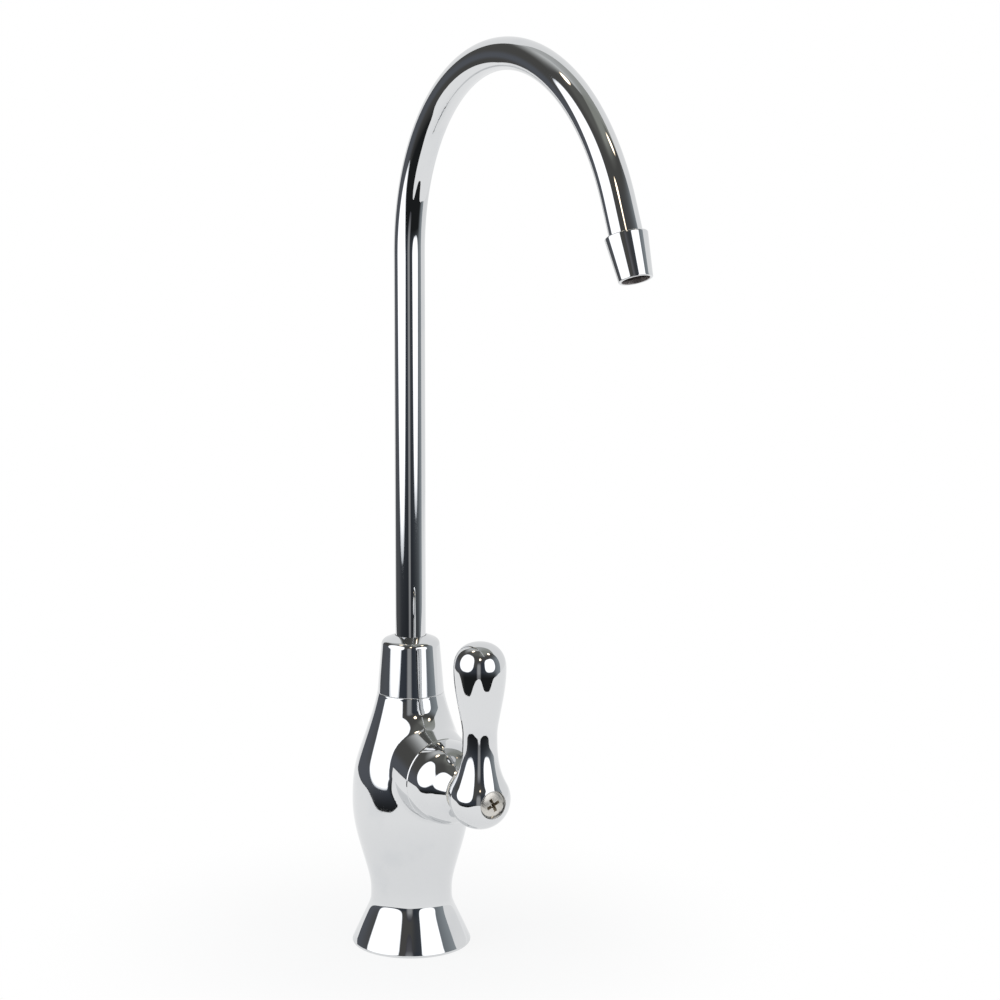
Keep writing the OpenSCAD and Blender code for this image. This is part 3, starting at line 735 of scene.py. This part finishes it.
steel_colour = (0.66, 0.64, 0.60, 1)
steel_dark = (0.52, 0.50, 0.46, 1)
# Painted shade: a dark brown tone for the inside of the cross recess, standing in for the shade there.
painted_recess_tone = (0.30, 0.26, 0.20, 1)
painted_recess_dark = (0.20, 0.17, 0.13, 1)
screw_steel = turned_metal("screw_steel", steel_colour, steel_dark, 0.24, 3000, 0.004 * mm, "Y")
recess_steel = turned_metal("recess_steel", painted_recess_tone, painted_recess_dark, 0.5, 900, 0.003 * mm, "Y")
recess_wing = 2.4 * mm
recess_half = 0.54 * mm
recess_depth = 1.7 * mm
recess_turn = math.radians(25)
wing_points = [(recess_half, recess_half), (recess_half, recess_wing), (-recess_half, recess_wing)]
cross = [(x * math.cos(q) - y * math.sin(q), x * math.sin(q) + y * math.cos(q))
         for q in np.radians((0, 90, 180, 270)) for x, y in wing_points]
recess_levels = ((0.45, screw_front - recess_depth), (1.25, screw_front + past))
recess = bpy.data.meshes.new("recess")
ring = len(cross)
recess.from_pydata([(x * s, y * s, h) for s, h in recess_levels for x, y in cross], [],
                   [tuple(range(ring))[::-1], tuple(range(ring, 2 * ring))]
                   + [(i, (i + 1) % ring, ring + (i + 1) % ring, ring + i) for i in range(ring)])
recess.transform(Matrix.Rotation(recess_turn, 4, "Z"))
screw_blank = threaded(
    "screw_blank", turned("screw", screw_outline, sides=64, closed=False), screw_r, screw_pitch,
    screw_thread_depth, thread_low, thread_high, screw_steel)
screw_mesh = machined("lever_screw", screw_blank, cut=[recess])
screw_mesh.transform(along_valve())
screw_mesh.shade_smooth()
screw_mesh.set_sharp_from_angle(angle=math.radians(35))
lever_screw = add("lever_screw", screw_mesh)
screw_mesh.materials.clear()
screw_mesh.materials.append(screw_steel)
screw_mesh.materials.append(recess_steel)
# The faces sunk in the cross recess take the painted shade material.
for face in screw_mesh.polygons:
    spread = math.hypot(face.center.x, face.center.z - valve_z)
    sunk = -face.center.y > head_seat + head_side / 2 and spread < recess_wing and face.normal.y > -0.75
    face.material_index = 1 if sunk else 0
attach(lever_screw, "lever")
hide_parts("handle_screw")

# The shank: a hollow brass stud with a fine thread over its length, screwed up into the casting.
# It passes through the worktop and takes the fixing nut, and its free end, below a turned relief, takes the
# water connector.
shank_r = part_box("shank")[1].x
shank_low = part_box("shank")[0].z
shank_bore_r = 3.25 * mm
thread_pitch = 25.4 / 24 * mm
thread_depth = 0.55 * mm
relief_low = shank_low + 16 * mm
relief_high = relief_low + 1.6 * mm
relief_r = shank_r - 0.7 * mm
relief_gap = 0.3 * mm
shank_chamfer = 0.6 * mm
row = thread_pitch / 11
brass_colour = (0.72, 0.52, 0.24, 1)
brass_dark = (0.50, 0.33, 0.14, 1)
shank_brass = turned_metal("shank_brass", brass_colour, brass_dark, 0.26, 1600, 0.006 * mm, "Z")
thread_start = shank_low + shank_chamfer
thread_end = shank_top - shank_chamfer
lower_rows = [(shank_r, h, 0) for h in np.arange(thread_start, relief_low - relief_gap, row)]
upper_rows = [(shank_r, h, 0) for h in np.arange(relief_high + relief_gap, thread_end, row)]
shank_outline = eased([
    (shank_bore_r, shank_low, bore_ease), (shank_r - shank_chamfer, shank_low, 0), *lower_rows,
    (shank_r, relief_low, 0), (relief_r, relief_low, 0),
    (relief_r, relief_high, 0), (shank_r, relief_high, 0),
    *upper_rows, (shank_r - shank_chamfer, shank_top, 0), (shank_bore_r, shank_top, bore_ease)])
threaded_shank = add("threaded_shank", threaded(
    "shank_blank", turned("shank_blank", shank_outline, sides=44), shank_r, thread_pitch, thread_depth,
    thread_start, thread_end, shank_brass))
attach(threaded_shank, "base")
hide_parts("shank")

# The washers: a rubber gasket in the foot's recess, a rubber washer against the worktop's underside and a
# pressed steel washer under it. All three are plain rings with softened edges, threaded on the shank.
washer_bore_r = shank_r + 0.25 * mm


def soft_material(name, colour, other, scale, roughness, spread, grain):
    """A moulded or ground surface: slow changes of tone, a roughness that varies, and a fine grain."""
    material, start = blank_material(name)
    cloud = patches(start, scale, 0.3, 0.7)
    speck = patches(start, scale * 14, 0.3, 0.7, 2.0)
    shaded(start, {
        "Base Color": mixed(start, cloud, colour, other), "Roughness": roughness + spread * speck,
        "Normal": bumped(start, speck, grain)})
    return material


rubber_colour = (0.025, 0.025, 0.026, 1)
rubber_bloom = (0.045, 0.044, 0.043, 1)
pressed_colour = (0.62, 0.61, 0.60, 1)
pressed_dark = (0.48, 0.47, 0.46, 1)
rubber = soft_material("black_rubber", rubber_colour, rubber_bloom, 180, 0.62, 0.2, 0.02 * mm)
washer_steel = turned_metal("washer_steel", pressed_colour, pressed_dark, 0.28, 900, 0.003 * mm, "X")
washers = [("foot_gasket", "base_gasket", rubber, "rubber", 0.3 * mm),
           ("deck_rubber", "deck_washer", rubber, "rubber", 0.5 * mm),
           ("steel_washer", "clamp_washer", washer_steel, "stainless_steel", 0.25 * mm)]
for name, node, material, slot, ease in washers:
    low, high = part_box(node)
    outline = eased([(washer_bore_r, low.z, ease), (high.x, low.z, ease),
                     (high.x, high.z, ease), (washer_bore_r, high.z, ease)])
    washer = add(name, turned(name, outline, sides=96))
    washer.data.materials.append(material)
    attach(washer, "base")
    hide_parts(node)

# The fixing nut: a brass hexagon with its corners turned off on both faces, run up the shank's thread.
# The split spring washer above it keeps it from working loose.
nut_low, nut_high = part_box("shank_nut")
nut_flat = 17.5 / 2 * mm
nut_corner = nut_flat / math.cos(math.radians(30))
nut_bevel = 0.9 * mm
nut_face_r = nut_flat - 0.1 * mm
nut_side_r = nut_corner + 0.2 * mm
nut_bore_r = shank_r + 0.05 * mm
nut_chamfer = 0.5 * mm
nut_mouth_r = nut_bore_r + nut_chamfer + past
hexagon = drill("hexagon", nut_corner, nut_low.z, nut_high.z, Matrix(), 6)
turned_off = np.array([
    (0, nut_low.z), (nut_face_r, nut_low.z), (nut_side_r, nut_low.z + nut_bevel),
    (nut_side_r, nut_high.z - nut_bevel), (nut_face_r, nut_high.z), (0, nut_high.z)])
nut_bore = np.array([
    (0, nut_low.z - past), (nut_mouth_r, nut_low.z - past), (nut_bore_r, nut_low.z + nut_chamfer),
    (nut_bore_r, nut_high.z - nut_chamfer), (nut_mouth_r, nut_high.z + past), (0, nut_high.z + past)])
nut_mesh = machined("hex_nut", hexagon, kept=[turned("turned_off", turned_off, sides=96, closed=False)],
                    cut=[turned("nut_bore", nut_bore, sides=64, closed=False)])
nut_mesh.shade_smooth()
nut_mesh.set_sharp_from_angle(angle=math.radians(20))
nut_mesh.materials.clear()
nut_mesh.materials.append(shank_brass)
hex_nut = add("hex_nut", nut_mesh)
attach(hex_nut, "base")
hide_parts("shank_nut")

# The pieces inside: the swivel's ferrule, rings and seals, and the quarter-turn cartridge with its ceramic
# discs. They are as they come off the lathe, the press and the mould, and need no more than their finish.
valve_brass = turned_metal("valve_brass", brass_colour, brass_dark, 0.24, 2200, 0.004 * mm, "Y")
nylon_colour = (0.80, 0.77, 0.68, 1)
nylon_pale = (0.86, 0.83, 0.75, 1)
ceramic_colour = (0.86, 0.85, 0.82, 1)
ceramic_pale = (0.90, 0.89, 0.87, 1)
nylon = soft_material("natural_nylon", nylon_colour, nylon_pale, 150, 0.38, 0.12, 0.004 * mm)
ceramic = soft_material("lapped_ceramic", ceramic_colour, ceramic_pale, 400, 0.14, 0.08, 0.001 * mm)
finishes = {
    "spout_ferrule": shank_brass, "cartridge_body": valve_brass, "valve_stem": valve_brass,
    "lower_slip_ring": nylon, "upper_slip_ring": nylon, "stem_thrust_washer": nylon, "handle_washer": nylon,
    "fixed_disc": ceramic, "moving_disc": ceramic,
    "spout_o_rings": rubber, "cartridge_o_ring": rubber, "stem_o_rings": rubber, "disc_seal": rubber,
    "stem_clip": screw_steel, "lock_washer": washer_steel,
}
for node, material in finishes.items():
    inner = frame["nodes"][node].data
    inner.materials.clear()
    inner.materials.append(material)

# The floor: a sheet of pale matt paper that the tap stands on. Its front edge is cut back in two bays, and
# its tone rises to white towards its edges, where it meets the white surround.
floor_level = -0.1 * mm
floor_front = 0.35
floor_back = 0.75
floor_bays = ((-79, 0.17, 36), (2.5, 0.122, 22))
floor_white = 0.86
floor_mirrored = 0.92
floor_grey_r = 0.02
floor_white_r = 0.13
paper_colour = (0.86, 0.865, 0.87, 1)
pure_white = (1, 1, 1, 1)


def seen_rays(start, mirrored):
    """The share of its own light that a surface shows: all seen straight, a part in mirrors, else none."""
    path = start.node("ShaderNodeLightPath", output="Is Camera Ray")
    mirror = path.beside("Is Glossy Ray") + path.beside("Is Transmission Ray")
    return start.math("MINIMUM", path + mirrored * mirror, 1)


def compass(azimuth, reach, height):
    """A point at an azimuth in degrees, where 0 is the front and 90 the right."""
    a = math.radians(azimuth)
    return Vector((math.sin(a) * reach, -math.cos(a) * reach, height))


def floor_reach(azimuth):
    """How far the sheet reaches from the tap in a direction."""
    behind = 0.5 - 0.5 * math.cos(math.radians(azimuth + 52))
    reach = floor_front + (floor_back - floor_front) * behind ** 4
    bays = [depth * math.exp(-((azimuth - centre) / width) ** 4) for centre, depth, width in floor_bays]
    return reach - sum(bays)


material, start = blank_material("matt_paper")
place = start.node("ShaderNodeTexCoord", output="Object")
parts = start.node("ShaderNodeSeparateXYZ", {}, {"Vector": place})
away = start.math("SQRT", parts * parts + parts.beside("Y") * parts.beside("Y"))
spread = start.node("ShaderNodeMapRange", {"interpolation_type": "SMOOTHSTEP"}, {
    "Value": away, "From Min": floor_grey_r, "From Max": floor_white_r,
    "To Min": floor_white, "To Max": 1.0}, "Result")
seen = seen_rays(start, floor_mirrored)
paper = start.node("ShaderNodeBsdfDiffuse", {}, {"Color": paper_colour})
white = start.node("ShaderNodeEmission", {}, {"Color": pure_white, "Strength": 1.0})
sheet = start.node("ShaderNodeMixShader", {}, {0: seen * spread, 1: paper, 2: white})
start.node("ShaderNodeOutputMaterial", {}, {"Surface": sheet})
edge = [compass(a, floor_reach(a), floor_level) for a in range(-180, 180, 2)]
floor = add("floor", bpy.data.meshes.new("floor"))
floor.data.from_pydata([Vector((0, 0, floor_level)), *edge], [],
                       [(0, 1 + i, 1 + (i + 1) % len(edge)) for i in range(len(edge))])
floor.data.materials.append(material)

# The studio: a dim room in front of the tap, open at the back to a white surround, with a wide softbox on its
# left, a narrower one in front on its right, a grey strip between them and three small warm ceiling lamps.
room_r = 2.2
room_centre = Vector((0, 0, 0.10))
window_left = -168
window_right = 68
window_side = 40
window_rise = 20
surround_mirrored = 0.75


def heading(azimuth, elevation, reach):
    """A point seen from the tap's middle at an azimuth and an elevation in degrees."""
    e = math.radians(elevation)
    return room_centre + compass(azimuth, reach * math.cos(e), reach * math.sin(e))


def stand(name, spots, faces, tones, lights):
    """A glowing piece of the studio, with a tone for each point. Metal shows it, the camera doesn't."""
    piece = add(name, bpy.data.meshes.new(name))
    piece.data.from_pydata(spots, [], faces)
    glow = piece.data.attributes.new("glow", "FLOAT_COLOR", "POINT")
    glow.data.foreach_set("color", np.column_stack([tones, np.ones(len(tones))]).astype(np.float32).ravel())
    material, start = blank_material(name)
    tone = start.node("ShaderNodeAttribute", {"attribute_name": "glow"}, {}, "Color")
    shine = start.node("ShaderNodeEmission", {}, {"Color": tone, "Strength": 1.0})
    start.node("ShaderNodeOutputMaterial", {}, {"Surface": shine})
    piece.data.materials.append(material)
    piece.visible_camera = False
    piece.visible_shadow = False
    piece.visible_diffuse = lights


def panel(name, reach, middle, half_size, fullness, feather, tone, rim, lights):
    """A panel bent round the tap, its middle and size given as angles, and its tone fading to its rim's."""
    azimuth, elevation = middle
    wide, high = half_size
    upper, lower = fullness
    count = 96
    spots, tones, faces = [heading(azimuth, elevation, reach)], [tone], []
    for share, shade in ((1 - feather, tone), (1 - feather / 2, (np.array(tone) + rim) / 2), (1, rim)):
        for a in np.linspace(0, 2 * math.pi, count, endpoint=False):
            c, s = math.cos(a), math.sin(a)
            power = upper if s > 0 else lower
            out = share * (abs(c) ** power + abs(s) ** power) ** (-1 / power)
            spots.append(heading(azimuth + wide * out * c, elevation + high * out * s, reach))
            tones.append(shade)
    for i in range(count):
        j = (i + 1) % count
        faces.append((0, 1 + i, 1 + j))
        faces.extend((k * count + 1 + i, (k + 1) * count + 1 + i, (k + 1) * count + 1 + j, k * count + 1 + j)
                     for k in (0, 1))
    stand(name, spots, faces, tones, lights)


softbox = (1.55, 1.55, 1.57)
softbox_rim = (0.55, 0.58, 0.62)
strip_tone = (0.33, 0.335, 0.34)
strip_rim = (0.06, 0.06, 0.07)
panel("left_softbox", 0.6, (-90.5, 22), (37.5, 32), (2.6, 2.8), 0.06, softbox, softbox_rim, True)
panel("right_softbox", 0.9, (16, 14.5), (23.5, 23.5), (2.8, 3.2), 0.06, softbox, softbox_rim, True)
panel("grey_strip", 1.7, (-33, 2), (9.5, 26), (4, 4), 0.5, strip_tone, strip_rim, False)
lamps = ((-130, 70), (-27, 42), (46, 58))
lamp_half = (4.2, 5.6)
lamp_tone = (5.0, 4.2, 3.2)
lamp_rim = (0.8, 0.6, 0.4)
for i, (azimuth, elevation) in enumerate(lamps):
    lamp_size = (lamp_half[0] / math.cos(math.radians(elevation)), lamp_half[1])
    spot = (azimuth, elevation)
    panel(f"ceiling_lamp_{i + 1}", 1.9, spot, lamp_size, (2, 2), 0.4, lamp_tone, lamp_rim, False)

# The dim room is near black low down behind the camera, lighter and bluish at its sides, and pale overhead.
front_tone = np.array((0.035, 0.041, 0.052))
left_tone = np.array((0.10, 0.107, 0.122))
right_tone = np.array((0.30, 0.33, 0.35))
upper_tone = np.array((0.078, 0.077, 0.074))
cellar_tone = np.array((0.014, 0.015, 0.016))
corner_tone = np.array((0.072, 0.071, 0.069))
ceiling_tone = np.array((0.28, 0.29, 0.265))
spill_tone = np.array((0.50, 0.51, 0.51))
camera_azimuth = -28


def ramp(value, low, high):
    """0 up to one value, 1 from another, and an even rise between them."""
    return float(np.clip((value - low) / (high - low), 0, 1))


def wall_tone(azimuth, elevation):
    """The room's tone in a direction: by side, then by height, with light from the window on its left end."""
    aside = ramp(1 - math.cos(math.radians(azimuth - camera_azimuth)), 0, 1.1)
    right = ramp(azimuth, -40, -16)
    side = left_tone + (right_tone - left_tone) * right
    wall = front_tone + (side - front_tone) * aside
    fade = ramp(elevation, 2 + 22 * right, 14 + 31 * right)
    tone = wall + (upper_tone - wall) * fade
    low_tone = cellar_tone + (corner_tone - cellar_tone) * ramp(-azimuth, 100, 130)
    low_tone = low_tone + (wall - low_tone) * ramp(azimuth, 36, 52)
    tone = tone + (low_tone - tone) * ramp(-elevation, 10, 14)
    tone = tone + (ceiling_tone - tone) * ramp(elevation, 54, 66) * (0.2 + 0.8 * ramp(azimuth, -38, -6))
    return tone + spill_tone * ramp(-azimuth, 130, 160) * ramp(elevation, 36, 54)


spots, tones, faces = [], [], []
columns = 64
rows = 36
room_low = -80
room_top = 90
for i in range(columns):
    for elevation in np.linspace(room_low, room_top, rows):
        azimuth = window_left + (window_right - window_left) * i / (columns - 1)
        spots.append(heading(azimuth, elevation, room_r))
        tones.append(wall_tone(azimuth, elevation))
window_span = 360 + window_left - window_right
for i in range(columns):
    low = window_side + window_rise * abs(math.sin(math.pi * i / (columns - 1))) ** 0.6
    for elevation in np.linspace(low, room_top, rows):
        spots.append(heading(window_right + window_span * i / (columns - 1), elevation, room_r))
        tones.append(ceiling_tone + (spill_tone - ceiling_tone) * i / (columns - 1))
for i in range(2 * columns - 1):
    if i != columns - 1:
        faces.extend((i * rows + j, (i + 1) * rows + j, (i + 1) * rows + j + 1, i * rows + j + 1)
                     for j in range(rows - 1))
stand("dim_room", spots, faces, tones, False)

world = bpy.data.worlds.new("white_surround")
world.use_nodes = True
world.node_tree.nodes.clear()
start = Flow(world.node_tree)
surround_light = (0.55, 0.56, 0.57, 1)
surround = mixed(start, seen_rays(start, surround_mirrored), surround_light, pure_white)
backdrop = start.node("ShaderNodeBackground", {}, {"Color": surround, "Strength": 1.0})
start.node("ShaderNodeOutputWorld", {}, {"Surface": backdrop})
bpy.context.scene.world = world

# The camera: at the photograph's place, about a metre off to the left of the front and a little above,
# with a long lens.
camera_place = (-0.45696, -0.86220, 0.33551)
camera_turn = (78.843, -0.12, -29.539)
camera = bpy.data.objects.new("camera", bpy.data.cameras.new("camera"))
camera.location = camera_place
camera.rotation_euler = Euler([math.radians(angle) for angle in camera_turn])
camera.data.lens = 115.2
camera.data.sensor_width = 36
bpy.context.scene.collection.objects.link(camera)
bpy.context.scene.camera = camera
bpy.context.scene.view_settings.view_transform = "Standard"
